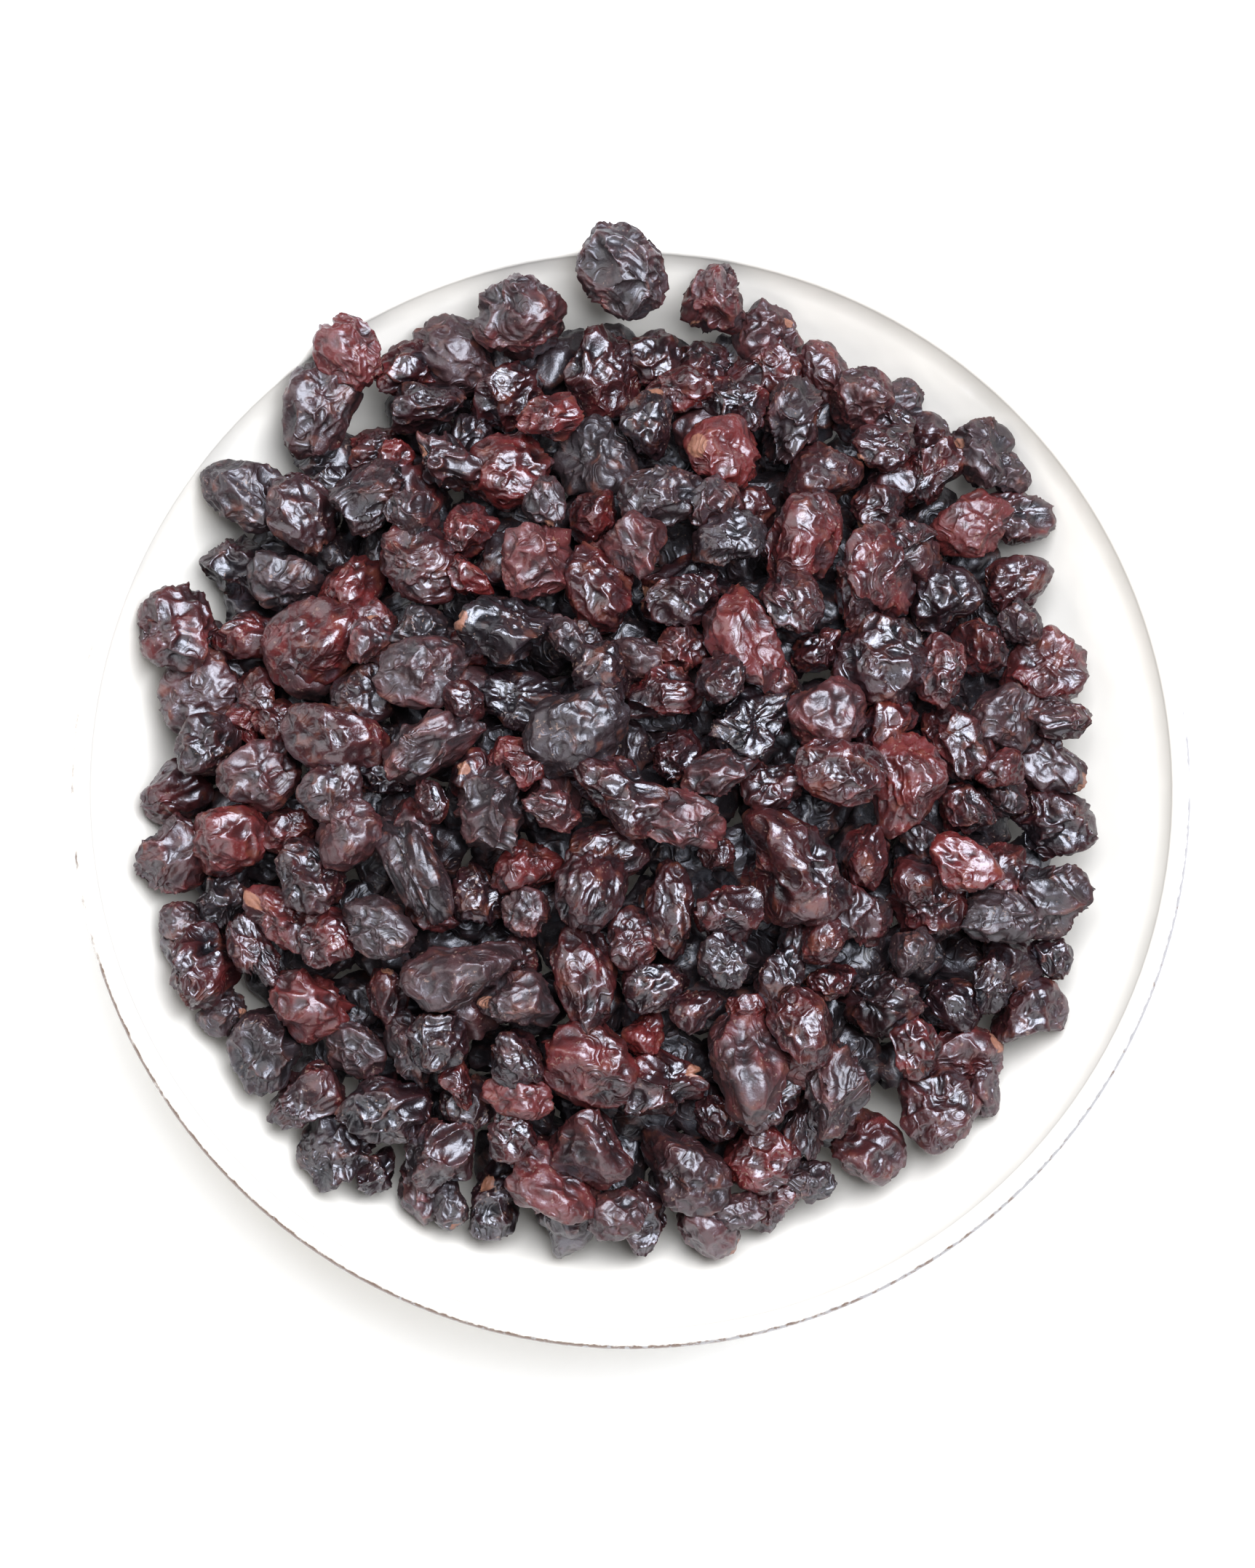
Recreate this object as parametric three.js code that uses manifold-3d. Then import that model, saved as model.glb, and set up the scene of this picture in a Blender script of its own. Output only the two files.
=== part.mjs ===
// A small white bowl heaped with dried, wrinkled berries.
// Millimetres, +Z up. The origin is the centre of the foot ring, on the surface that the bowl stands on,
// and -Y is the side nearest to whoever looks at it.
import * as THREE from "three";
import { mergeVertices } from "three/addons/utils/BufferGeometryUtils.js";
import Module from "manifold-3d";

const wasm = await Module();
wasm.setup();

// The bowl is a round shell of revolution. Its hollow is part of a sphere.
const bowl = {
  rimRadius: 67.5,
  lipHeight: 42.2,
  lipThickness: 2.4,
  hollowFloor: 6,
  floorThickness: 4,
  footRadius: 28,
  footWidth: 3.6,
  footChamfer: 0.5,
  footFlare: 1.5,
  segments: 64,
  wallSteps: 8,
  lipSteps: 4,
};

// The heap's crown stands a little behind and to the left of the bowl's middle.
const heap = {
  middleX: -1.4,
  middleY: 3.8,
  crownHeight: 58,
  fall: 17,
  fallRadius: 56,
  footprint: 59,
  wallGap: 0.4,
  overhang: 6,
  headroom: 20,
  coreDepth: 8.5,
  coreRadius: 53,
  coreSegments: 20,
  coreSteps: 6,
};

// How the rule lays berries: each takes the lowest of a few free spots, sunk a little into those below it.
const laying = {
  seed: 20731,
  smallest: 3.2,
  largest: 4.4,
  tries: 48,
  nest: 0.83,
  sinkInCore: 0.45,
  overCrown: 2,
  misses: 40,
  inView: 0.8,
  lowerLayer: 20,
  most: 420,
};

// A berry is a ball, drawn out, flattened and then pressed in by a few broad dents.
const berryForm = {
  fullness: 1.15,
  longest: 1.26,
  shortest: 0.8,
  dents: 6,
  leastDent: 0.06,
  deepestDent: 0.24,
  dentCosine: 0.56,
  thinnest: 0.55,
  lie: 0.4,
  bridgeRadius: 1.1,
  leastHold: 1,
};

// Berries that stand out at the heap's edge and on its face: [across, back, radius] from the bowl's middle.
// Those drawn out more than most also have how far, and where they point, in degrees from across.
const edgeBerries = [
  [-1.2, 60.3, 5.5], [-13.2, 57.6, 5.8], [10.1, 59.2, 4.9], [16.5, 52.2, 5.2], [28.6, 46.6, 4.6],
  [36, 43, 3.6], [43.2, 40.4, 4.4], [47, 33.2, 4], [46.6, 24.6, 4.2], [50.4, 14.5, 5], [50.2, 4, 4.8],
  [50.3, -4.4, 4.7], [49.4, -13.4, 4.7], [46.2, -20.2, 4.2], [48, -27.6, 4.4], [40.4, -33.2, 4.3],
  [36.6, -39.6, 5.1], [27.4, -43.6, 4.6], [17.5, -50, 3.9], [9.3, -52.4, 4.4], [1.5, -51.8, 3.8],
  [-8, -52, 4.2], [-16.6, -50, 4.5], [-25.4, -47.8, 3.9], [-35, -43.4, 5], [-39.5, -37.6, 4.1],
  [-43.6, -32, 4.9], [-51.2, -21.6, 5.5], [-49.6, -14, 4], [-56, -8.6, 4.8], [-55.4, -0.6, 4],
  [-50.5, 4.2, 4], [-51.6, 11.7, 4.8], [-55, 19, 5], [-47.6, 26.6, 4.4], [-46.4, 35.2, 5], [-37.6, 46, 5],
  [-33.6, 52, 4.1], [-21.2, 53.4, 4.8], [3.4, 52.6, 4.2], [-4.2, 50, 5.5],
];
const faceBerries = [
  [-14.4, 47.7, 4.3], [6.2, 46.9, 4], [12.4, 45.5, 3.8], [19.4, 43.9, 5.1, 1.25, 60], [30.4, 40.6, 3.5],
  [36.2, 37.7, 4.4], [41.7, 31.7, 4.2], [11.3, 38.6, 4.8], [23, 36.7, 4.7], [-4.1, 38.7, 5],
  [-14.4, 37.2, 5, 1.2, 10], [-22.7, 38.3, 4.3], [-31.1, 34.2, 4.5, 1.2, 25], [-36.8, 37.6, 3.3],
  [-39.8, 32.1, 4.5, 1.2, -50], [-26.1, 31.3, 3.6], [-25.1, 25.7, 4.7, 1.4, -10], [-33.8, 23.5, 4.1],
  [-41.7, 24.5, 4.5], [-11.1, 26.3, 4.9], [-10.3, 32.7, 2.9], [-3.1, 22.4, 5], [1, 26.7, 3.9],
  [3.9, 32.9, 4.5], [9.2, 32.4, 3.9], [15, 32, 3], [20.1, 29, 5, 1.2, 70], [30.1, 32.9, 3.5],
  [33.1, 29.2, 3.2], [29.2, 24, 5.4], [37.6, 21.8, 4.2], [42.4, 17, 3.5], [7.5, 21.8, 4.9],
  [11.5, 27.7, 3.8], [13.7, 16.3, 5.1, 1.3, -65], [18.9, 20.6, 3.8], [22.5, 15.5, 2.8], [29.8, 14.2, 5.1],
  [37, 12.7, 3.9, 1.2, 90], [45.2, 7.7, 4.3], [52.1, 8.8, 3.6], [39, 3.8, 4.6, 1.2, -60], [30.9, 6.2, 4],
  [32.7, -0.5, 5.1, 1.25, 85], [23.7, 7.2, 4.7], [24.4, 0.7, 4.2, 1.25, -15], [14.3, 5.9, 4.7, 1.35, 15],
  [11, 11.1, 3.4], [3.7, 9, 4.1], [0.3, 14.4, 3.2], [-6.2, 4.9, 5.3], [-14.4, 17.5, 5.3],
  [-24.9, 17, 3.6], [-24.2, 12.3, 4.6, 1.25, 10], [-38.3, 16.6, 5.2], [-31.7, 9.8, 4],
  [-13.3, 8.6, 4.2, 1.3, -15], [-2.9, 11.8, 3.7], [-41.5, 6.9, 3.4], [-35, 5.3, 4.9],
  [-23.4, 3.3, 4.9, 1.5, 30], [-44.4, 0.8, 4.6], [-35.6, -1.4, 3.8], [-16.6, -4, 5.5], [-33.9, -6, 4.5],
  [-48.5, -7.4, 4.8], [-1.5, -2.6, 5.1, 1.2, -20], [4.8, 2.4, 3.3], [10.3, 0.1, 3.9], [16.8, -1.3, 3.6],
  [4.9, -6, 4.3, 1.35, -10], [18.5, -10.8, 7], [27.8, -8.8, 3.7, 1.25, 80], [34.9, -14.2, 5.2],
  [39.6, -10.4, 3.7, 1.3, -30], [43.1, -16.6, 3.9], [-12.3, -10.8, 3.8, 1.2, 35], [-37.7, -11.5, 4.5],
  [-25.7, -10.6, 4.7, 1.8, -70], [-17.8, -13.9, 3.5], [-4.7, -13, 4.7], [-12.1, -16.4, 3],
  [-41.4, -16.3, 4.2], [-36, -18.4, 3.9], [-45.5, -20.6, 3.6, 1.4, -60], [-38.6, -26.3, 5, 1.3, -10],
  [-20.2, -22.4, 5.5, 1.25, 25], [-29, -25.3, 3.4], [-13.5, -26.8, 4.2], [-5.5, -23.6, 4.7, 1.35, 95],
  [4.7, -15.7, 3.7, 1.45, 95], [11.2, -16, 4.1], [10.8, -21.8, 3.1], [2.9, -24.5, 3.9], [7.7, -27.4, 2.9],
  [17.9, -23.5, 4], [23.6, -23.7, 2.8], [30.3, -26, 4.7, 1.35, 0], [39.1, -26.5, 3.7], [20.1, -29.6, 4.1],
  [13.4, -34, 5.6, 1.2, 80], [24.9, -36.1, 4.8, 1.35, 75], [3.7, -36.2, 4.6], [-32.8, -31.8, 3.7],
  [-23.1, -31.2, 4], [-13.8, -32.7, 3.7], [-4.2, -33.4, 5.5], [-29.8, -39, 4.7], [-22.7, -44.3, 4.6],
  [-13.3, -37.6, 3.3, 1.3, 0], [-14.2, -41.8, 3.1], [-9.2, -48.3, 5, 1.2, -25], [-4.4, -43.8, 5],
  [6.3, -46.2, 5.4], [15.5, -44.6, 4.3], [-1.5, -51.5, 3.5], [33.6, -20.6, 3.2], [-26.5, 50.3, 3.8],
  [-25.4, 45.8, 4, 1.3, 0],
];

// The sphere that the hollow is part of, and the lip's rounded edge.
const lip = bowl.lipThickness / 2;
const lipMiddle = { radius: bowl.rimRadius - lip, height: bowl.lipHeight - lip };
const mouth = lipMiddle.radius - lip;
const depth = lipMiddle.height - bowl.hollowFloor;
const hollow = { radius: (mouth * mouth + depth * depth) / (2 * depth) };
hollow.centre = bowl.hollowFloor + hollow.radius;
const mouthAngle = Math.asin(mouth / hollow.radius);

// A repeatable run of numbers from 0 to 1.
let drawn = laying.seed;
function random() {
  drawn = (drawn * 16807) % 2147483647;
  return (drawn - 1) / 2147483646;
}

function between(low, high) {
  return low + (high - low) * random();
}

function randomDirection() {
  const way = [0, 0, 0];
  let length = 0;
  do {
    way.forEach((_, i) => (way[i] = between(-1, 1)));
    length = Math.sqrt(way[0] * way[0] + way[1] * way[1] + way[2] * way[2]);
  } while (length > 1 || length < 0.1);
  return way.map((part) => part / length);
}

// Solids that can be joined and cut, from plain geometry, and back.
function solidOf(geometry) {
  const bare = geometry.index ? geometry.toNonIndexed() : geometry.clone();
  bare.deleteAttribute("normal");
  bare.deleteAttribute("uv");
  const merged = mergeVertices(bare, 1e-4);
  return new wasm.Manifold(
    new wasm.Mesh({
      numProp: 3,
      vertProperties: new Float32Array(merged.attributes.position.array),
      triVerts: new Uint32Array(merged.index.array),
    }),
  );
}

function geometryOf(solid) {
  const { vertProperties, triVerts } = solid.getMesh();
  const geometry = new THREE.BufferGeometry();
  geometry.setAttribute("position", new THREE.BufferAttribute(vertProperties, 3));
  geometry.setIndex(new THREE.BufferAttribute(triVerts, 1));
  geometry.computeVertexNormals();
  return geometry;
}

// A body turned about the upright axis, from [radius, height] points that run up its outside.
function turned(points, segments) {
  const profile = points.map(([radius, height]) => new THREE.Vector2(radius, height));
  return new THREE.LatheGeometry(profile, segments).rotateX(Math.PI / 2);
}

// A point on a sphere round the hollow's centre, at an angle from straight down.
function onShell(radius, angle) {
  return [radius * Math.sin(angle), hollow.centre - radius * Math.cos(angle)];
}

function wallThickness(angle) {
  const share = angle / mouthAngle;
  return bowl.floorThickness + (bowl.lipThickness - bowl.floorThickness) * share;
}

function outsideAt(angle) {
  return onShell(hollow.radius + wallThickness(angle), angle);
}

function angleWhereOutsideIs(radius) {
  return Math.asin(radius / (hollow.radius + bowl.floorThickness));
}

// The bowl's profile: under the floor, round the foot, up the outside, over the lip and down the hollow.
function bowlProfile() {
  const inFoot = bowl.footRadius - bowl.footWidth;
  const chamfer = bowl.footChamfer;
  const recess = angleWhereOutsideIs(inFoot);
  const shoulder = angleWhereOutsideIs(bowl.footRadius + bowl.footFlare);
  const flareFoot = outsideAt(shoulder)[1] - 0.7 * bowl.footFlare;
  const points = [[0, outsideAt(0)[1]], outsideAt(recess / 2), outsideAt(recess)];
  points.push([inFoot + chamfer, 0], [bowl.footRadius - chamfer, 0], [bowl.footRadius, chamfer]);
  points.push([bowl.footRadius + 0.2 * bowl.footFlare, flareFoot]);
  for (let i = 0; i < bowl.wallSteps; i++)
    points.push(outsideAt(shoulder + ((mouthAngle - shoulder) * i) / bowl.wallSteps));
  for (let i = 0; i <= bowl.lipSteps; i++) {
    const turn = (Math.PI * i) / bowl.lipSteps;
    points.push([lipMiddle.radius + lip * Math.cos(turn), lipMiddle.height + lip * Math.sin(turn)]);
  }
  for (let i = 1; i <= bowl.wallSteps; i++)
    points.push(onShell(hollow.radius, (mouthAngle * (bowl.wallSteps - i)) / bowl.wallSteps));
  points[points.length - 1][0] = 0;
  return points;
}

// The space that the heap may fill: the hollow with a small gap all round, and what is above the lip.
function roomProfile() {
  const gap = heap.wallGap;
  const points = [];
  for (let i = 0; i <= bowl.wallSteps; i++)
    points.push(onShell(hollow.radius - gap, (mouthAngle * i) / bowl.wallSteps));
  points[0][0] = 0;
  for (let i = 0; i <= bowl.lipSteps; i++) {
    const turn = (Math.PI * i) / (2 * bowl.lipSteps);
    const reach = lip + gap;
    points.push([lipMiddle.radius - reach * Math.cos(turn), lipMiddle.height + reach * Math.sin(turn)]);
  }
  const side = bowl.rimRadius + heap.overhang;
  const top = heap.crownHeight + heap.headroom;
  return [...points, [side, bowl.lipHeight + gap], [side, top], [0, top]];
}

// The heap's upper surface, and the plain middle that the berries stand out of.
function crown(x, y) {
  const across = x - heap.middleX;
  const back = y - heap.middleY;
  const share = (across * across + back * back) / (heap.fallRadius * heap.fallRadius);
  return heap.crownHeight - heap.fall * share;
}

function coreSolid(room) {
  const points = [[0, 0], [heap.coreRadius, 0]];
  for (let i = heap.coreSteps; i >= 0; i--) {
    const radius = (heap.coreRadius * i) / heap.coreSteps;
    const top = crown(heap.middleX + radius, heap.middleY) - heap.coreDepth;
    points.push([radius, top]);
  }
  const mound = turned(points, heap.coreSegments).translate(heap.middleX, heap.middleY, 0);
  return solidOf(mound).intersect(room);
}

// The lowest a berry's middle can be above x, y where the bowl alone carries it.
function heightOnBowl(x, y, radius) {
  const out = Math.sqrt(x * x + y * y);
  const inside = hollow.radius - heap.wallGap - radius;
  if (out < inside * (mouth / hollow.radius)) return hollow.centre - Math.sqrt(inside * inside - out * out);
  const reach = radius + lip + heap.wallGap;
  const off = out - lipMiddle.radius;
  return lipMiddle.height + Math.sqrt(Math.max(0, reach * reach - off * off));
}

// The lowest place for a berry's middle at x, y: on the core, the bowl, and the berries that are there.
function restingHeight(x, y, radius, laid) {
  const onCore = crown(x, y) - heap.coreDepth + radius * (1 - laying.sinkInCore);
  let height = Math.max(onCore, heightOnBowl(x, y, radius));
  for (const other of laid) {
    const reach = laying.nest * (radius + other.radius);
    const across = x - other.x;
    const back = y - other.y;
    const left = reach * reach - across * across - back * back;
    if (left > 0) height = Math.max(height, other.z + Math.sqrt(left));
  }
  return height;
}

function hides(x, y, z, radius, other) {
  const clear = laying.inView * (radius + other.radius);
  const across = x - other.x;
  const back = y - other.y;
  return z > other.z && across * across + back * back < clear * clear;
}

// The rule's next berry: the lowest of a few spots that stay under the crown and hide no chosen berry.
function lowestSpot(radius, laid) {
  const reach = heap.footprint - radius;
  let best = null;
  for (let i = 0; i < laying.tries; i++) {
    const across = between(-reach, reach);
    const back = between(-reach, reach);
    if (across * across + back * back > reach * reach) continue;
    const x = heap.middleX + across;
    const y = heap.middleY + back;
    const z = restingHeight(x, y, radius, laid);
    const over = z + radius - crown(x, y);
    const covers = laid.some((other) => other.chosen && hides(x, y, z, radius, other));
    if (covers || over > laying.overCrown) continue;
    if (!best || over < best.over) best = { x, y, z, over };
  }
  return best;
}

function layUntilFull(laid, limit) {
  let missed = 0;
  while (missed < laying.misses && laid.length < limit) {
    const radius = between(laying.smallest, laying.largest);
    const spot = lowestSpot(radius, laid);
    if (spot) laid.push({ x: spot.x, y: spot.y, z: spot.z, radius });
    missed = spot ? 0 : missed + 1;
  }
}

function layBerries() {
  const laid = [];
  layUntilFull(laid, laying.lowerLayer);
  for (const [x, y, radius, long, heading] of [...edgeBerries, ...faceBerries]) {
    const pressedIn = crown(x, y) + laying.overCrown - radius;
    const lowest = Math.min(restingHeight(x, y, radius, laid), pressedIn);
    const z = Math.max(lowest, heightOnBowl(x, y, radius));
    laid.push({ x, y, z, radius, long, heading, chosen: true });
  }
  layUntilFull(laid, laying.most);
  return laid;
}

// Each berry's own proportions, the way it lies and its dents.
function shapeBerry(berry) {
  const { longest, shortest, lie } = berryForm;
  const long = berry.long ?? between(1, longest);
  const flat = between(shortest, 1);
  const wide = 1 / (long * flat);
  const turn = THREE.MathUtils.degToRad(berry.heading ?? 0);
  const along = berry.long ? [Math.cos(turn), Math.sin(turn), 0] : randomDirection();
  along[2] *= lie;
  const lengthwise = new THREE.Vector3(...along).normalize();
  const upwards = new THREE.Vector3(...randomDirection());
  const sideways = new THREE.Vector3().crossVectors(upwards, lengthwise).normalize();
  upwards.crossVectors(lengthwise, sideways);
  const dents = [];
  for (let i = 0; i < berryForm.dents; i++) {
    const way = new THREE.Vector3(...randomDirection());
    dents.push({ way, deep: between(berryForm.leastDent, berryForm.deepestDent) });
  }
  return { ...berry, sizes: [long, wide, flat], basis: [lengthwise, sideways, upwards], dents };
}

function dented(way, dents) {
  let radius = 1;
  for (const dent of dents) {
    const near = (way.dot(dent.way) - berryForm.dentCosine) / (1 - berryForm.dentCosine);
    if (near > 0) radius -= dent.deep * near * (2 - near);
  }
  return Math.max(radius, berryForm.thinnest);
}

function berrySolid(berry) {
  const ball = new THREE.IcosahedronGeometry(1, 0);
  const spots = ball.attributes.position;
  const way = new THREE.Vector3();
  for (let i = 0; i < spots.count; i++) {
    way.fromBufferAttribute(spots, i).normalize();
    const reach = berry.radius * berryForm.fullness * dented(way, berry.dents);
    const spot = middleOf(berry);
    way.toArray().forEach((part, j) => spot.addScaledVector(berry.basis[j], part * reach * berry.sizes[j]));
    spots.setXYZ(i, spot.x, spot.y, spot.z);
  }
  return solidOf(ball);
}

// Where two sticky berries hold together: a short bridge between their middles, mostly inside both.
function bridgeSolid(from, to) {
  const length = from.distanceTo(to);
  const bridge = new THREE.CylinderGeometry(berryForm.bridgeRadius, berryForm.bridgeRadius, length, 3);
  bridge.translate(0, length / 2, 0);
  const upright = new THREE.Vector3(0, 1, 0);
  const way = new THREE.Vector3().subVectors(to, from).normalize();
  bridge.applyQuaternion(new THREE.Quaternion().setFromUnitVectors(upright, way));
  return solidOf(bridge.translate(from.x, from.y, from.z));
}

function middleOf(berry) {
  return new THREE.Vector3(berry.x, berry.y, berry.z);
}

// Joins the core and the berries. A berry that hangs free is bridged to the nearest one that doesn't.
function fuse(core, berries) {
  const solids = berries.map(berrySolid);
  const bridges = [];
  for (;;) {
    const bodies = wasm.Manifold.union([core, ...solids, ...bridges]).decompose();
    if (bodies.length === 1) return bodies[0];
    const [largest] = bodies.sort((a, b) => b.volume() - a.volume());
    const isHeld = (solid) => largest.intersect(solid).volume() > berryForm.leastHold;
    const held = berries.filter((berry, i) => isHeld(solids[i])).map(middleOf);
    const loose = berries.filter((berry, i) => !isHeld(solids[i]));
    for (const berry of loose) {
      const from = middleOf(berry);
      const [nearest] = held.sort((a, b) => from.distanceTo(a) - from.distanceTo(b));
      bridges.push(bridgeSolid(from, nearest));
    }
  }
}

function mesh(name, geometry, color, roughness) {
  const made = new THREE.Mesh(geometry, new THREE.MeshStandardMaterial({ color, roughness, metalness: 0 }));
  made.name = name;
  return made;
}

const room = solidOf(turned(roomProfile(), bowl.segments));
const berries = layBerries().map(shapeBerry);
const berryHeap = fuse(coreSolid(room), berries).intersect(room);

const group = new THREE.Group();
group.add(mesh("bowl", turned(bowlProfile(), bowl.segments), 0xf2efe8, 0.15));
group.add(mesh("berry_heap", geometryOf(berryHeap), 0x2a1115, 0.4));

export default group;
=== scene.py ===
# A small white bowl heaped with dried berries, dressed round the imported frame.
# Blender works in metres. The dictionaries give millimetres, as the maker's drawing does.
import math

import bpy
import numpy as np
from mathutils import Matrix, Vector


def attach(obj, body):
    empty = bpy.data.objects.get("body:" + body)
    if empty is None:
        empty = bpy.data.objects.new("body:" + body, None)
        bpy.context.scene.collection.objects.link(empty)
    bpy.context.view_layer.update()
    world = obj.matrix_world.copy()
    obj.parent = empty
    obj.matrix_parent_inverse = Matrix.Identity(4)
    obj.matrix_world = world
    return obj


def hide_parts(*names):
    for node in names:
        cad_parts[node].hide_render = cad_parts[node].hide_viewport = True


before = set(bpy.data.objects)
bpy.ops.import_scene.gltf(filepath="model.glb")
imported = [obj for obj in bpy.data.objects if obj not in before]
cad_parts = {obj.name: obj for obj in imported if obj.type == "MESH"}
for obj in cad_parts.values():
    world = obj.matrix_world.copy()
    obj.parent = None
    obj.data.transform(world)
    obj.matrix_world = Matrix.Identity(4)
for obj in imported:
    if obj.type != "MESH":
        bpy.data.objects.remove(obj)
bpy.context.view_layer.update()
mm = 0.001
print("frame loaded:", sorted(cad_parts))


# Shader maths: a Shade is one socket, and sums of Shades add the Math nodes.
class Shade:
    def __init__(self, finish, socket):
        self.finish = finish
        self.socket = socket

    def math(self, operation, *values):
        return self.finish.add("ShaderNodeMath", {"operation": operation}, *values)

    def __add__(self, other):
        return self.math("ADD", self, other)

    def __sub__(self, other):
        return self.math("SUBTRACT", self, other)

    def __mul__(self, other):
        return self.math("MULTIPLY", self, other)

    def __radd__(self, other):
        return self.math("ADD", other, self)

    def __rsub__(self, other):
        return self.math("SUBTRACT", other, self)

    def __rmul__(self, other):
        return self.math("MULTIPLY", other, self)

    def above(self, low, high):  # 0 under low, 1 over high, and a smooth step between them
        settings = {"interpolation_type": "SMOOTHSTEP"}
        return self.finish.add("ShaderNodeMapRange", settings, self, low, high)


class Finish:
    def __init__(self, name):
        self.material = bpy.data.materials.new(name)
        self.material.use_nodes = True
        self.tree = self.material.node_tree
        self.tree.nodes.clear()

    def add(self, kind, settings=None, *values, output=0, **named):
        node = self.tree.nodes.new(kind)
        for name, value in (settings or {}).items():
            if name == "stops":
                self.setStops(node.color_ramp, value)
            else:
                setattr(node, name, value)
        places = [*enumerate(values), *((name.replace("_", " "), value) for name, value in named.items())]
        for place, value in places:
            if isinstance(value, Shade):
                self.tree.links.new(value.socket, node.inputs[place])
            else:
                node.inputs[place].default_value = value
        return Shade(self, node.outputs[output])

    def setStops(self, ramp, stops):
        while len(ramp.elements) < len(stops):
            ramp.elements.new(0.5)
        for element, (place, color) in zip(ramp.elements, stops):
            element.position = place
            element.color = (*color, 1)

    def mix(self, share, first, second):
        node = self.tree.nodes.new("ShaderNodeMix")
        node.data_type = "RGBA"  # colors go in at 6 and 7, and out at 2
        for place, value in ((0, share), (6, first), (7, second)):
            if isinstance(value, Shade):
                self.tree.links.new(value.socket, node.inputs[place])
            else:
                node.inputs[place].default_value = value if place == 0 else (*value, 1)
        return Shade(self, node.outputs[2])

    def place(self):
        return self.add("ShaderNodeTexCoord", output="Object")

    def noise(self, size, detail=2.0, roughness=0.5):
        return self.add("ShaderNodeTexNoise", None, Vector=self.place(), Scale=1 / (size * mm),
                        Detail=detail, Roughness=roughness)

    def bump(self, height, distance):
        return self.add("ShaderNodeBump", None, Strength=1, Distance=distance * mm, Height=height)

    def close(self, **sockets):
        surface = self.add("ShaderNodeBsdfPrincipled", None, **sockets)
        output = self.tree.nodes.new("ShaderNodeOutputMaterial")
        self.tree.links.new(surface.socket, output.inputs["Surface"])
        return self.material


# The camera looks almost straight down from the near side.
view = {
    "elevation": 84.2,
    "distance": 480,
    "aim": (-0.4, 0, 41.5),
    "frameHeight": 188.9,
    "sensor": 24,
    "nearest": 10,
}


def makeCamera():
    aim = Vector(view["aim"]) * mm
    tilt = math.radians(view["elevation"])
    data = bpy.data.cameras.new("camera")
    camera = bpy.data.objects.new("camera", data)
    camera.location = aim + Vector((0, -math.cos(tilt), math.sin(tilt))) * view["distance"] * mm
    camera.rotation_euler = (math.pi / 2 - tilt, 0, 0)
    data.sensor_fit = "VERTICAL"
    data.sensor_height = view["sensor"]
    data.lens = view["sensor"] * view["distance"] / view["frameHeight"]
    data.clip_start = view["nearest"] * mm
    bpy.context.collection.objects.link(camera)
    bpy.context.scene.camera = camera


# A wide soft window nearly overhead, behind and to the right, and weak ones to the left and in front.
light = {
    "windows": [
        {"name": "window_top", "place": (140, 150, 650), "size": 470, "power": 11.6,
         "color": (0.92, 0.95, 1.0)},
        {"name": "window_left", "place": (-470, 200, 400), "size": 520, "power": 1.9,
         "color": (1.0, 0.97, 0.92)},
        {"name": "window_front", "place": (-40, -560, 430), "size": 700, "power": 2.8,
         "color": (1.0, 0.98, 0.94)},
    ],
    "roomColor": (0.93, 0.96, 1.0),
    "roomStrength": 0.02,
    "aim": (0, 0, 40),
    "floorColor": (0.92, 0.92, 0.92),
    "floorSize": 6000,
    "floorRough": 0.8,
    "speckleSize": 40,
    "speckleShade": 0.99,
}


def makeLamp(name, place, size, power, color):
    data = bpy.data.lights.new(name, "AREA")
    data.shape = "SQUARE"
    data.size = size * mm
    data.energy = power
    data.color = color
    lamp = bpy.data.objects.new(name, data)
    lamp.location = Vector(place) * mm
    lamp.rotation_euler = (Vector(light["aim"]) * mm - lamp.location).to_track_quat("-Z", "Y").to_euler()
    bpy.context.collection.objects.link(lamp)


def makeStage():
    for window in light["windows"]:
        makeLamp(**window)
    world = bpy.data.worlds.new("room")
    world.use_nodes = True
    background = world.node_tree.nodes["Background"]
    background.inputs["Color"].default_value = (*light["roomColor"], 1)
    background.inputs["Strength"].default_value = light["roomStrength"]
    bpy.context.scene.world = world
    bpy.context.scene.view_settings.view_transform = "Standard"
    bpy.ops.mesh.primitive_grid_add(x_subdivisions=2, y_subdivisions=2, size=light["floorSize"] * mm)
    floor = bpy.context.object
    floor.name = "floor"
    paper = Finish("pale_floor")
    shaded = [part * light["speckleShade"] for part in light["floorColor"]]
    tone = paper.mix(paper.noise(light["speckleSize"]), light["floorColor"], shaded)
    floor.data.materials.append(paper.close(Base_Color=tone, Roughness=light["floorRough"]))


# The bowl, as on the drawing: part of a sphere inside, a thicker floor, a half-round lip and a foot ring.
bowl = {
    "rimRadius": 67.5,
    "lipHeight": 42.2,
    "lipThickness": 2.4,
    "hollowFloor": 6,
    "floorThickness": 4,
    "footRadius": 28,
    "footWidth": 3.6,
    "footRound": 0.8,
    "recessInset": 1,
    "recessRound": 0.9,
    "shoulder": 2.4,
    "footToWall": [(0.1, -2.6), (0.45, -1.2), (1.2, -0.4)],  # out from the foot, up from the wall's start
    "segments": 160,
    "wallSteps": 28,
    "lipSteps": 12,
    "footSteps": 5,
    "recessSteps": 6,
}
lip = bowl["lipThickness"] / 2
lipRadius = bowl["rimRadius"] - lip
lipMiddle = bowl["lipHeight"] - lip
mouth = lipRadius - lip
hollowDepth = lipMiddle - bowl["hollowFloor"]
hollowRadius = (mouth * mouth + hollowDepth * hollowDepth) / (2 * hollowDepth)
hollowCentre = bowl["hollowFloor"] + hollowRadius
mouthAngle = math.asin(mouth / hollowRadius)


def onShell(radius, angle):
    return (radius * math.sin(angle), hollowCentre - radius * math.cos(angle))


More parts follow.
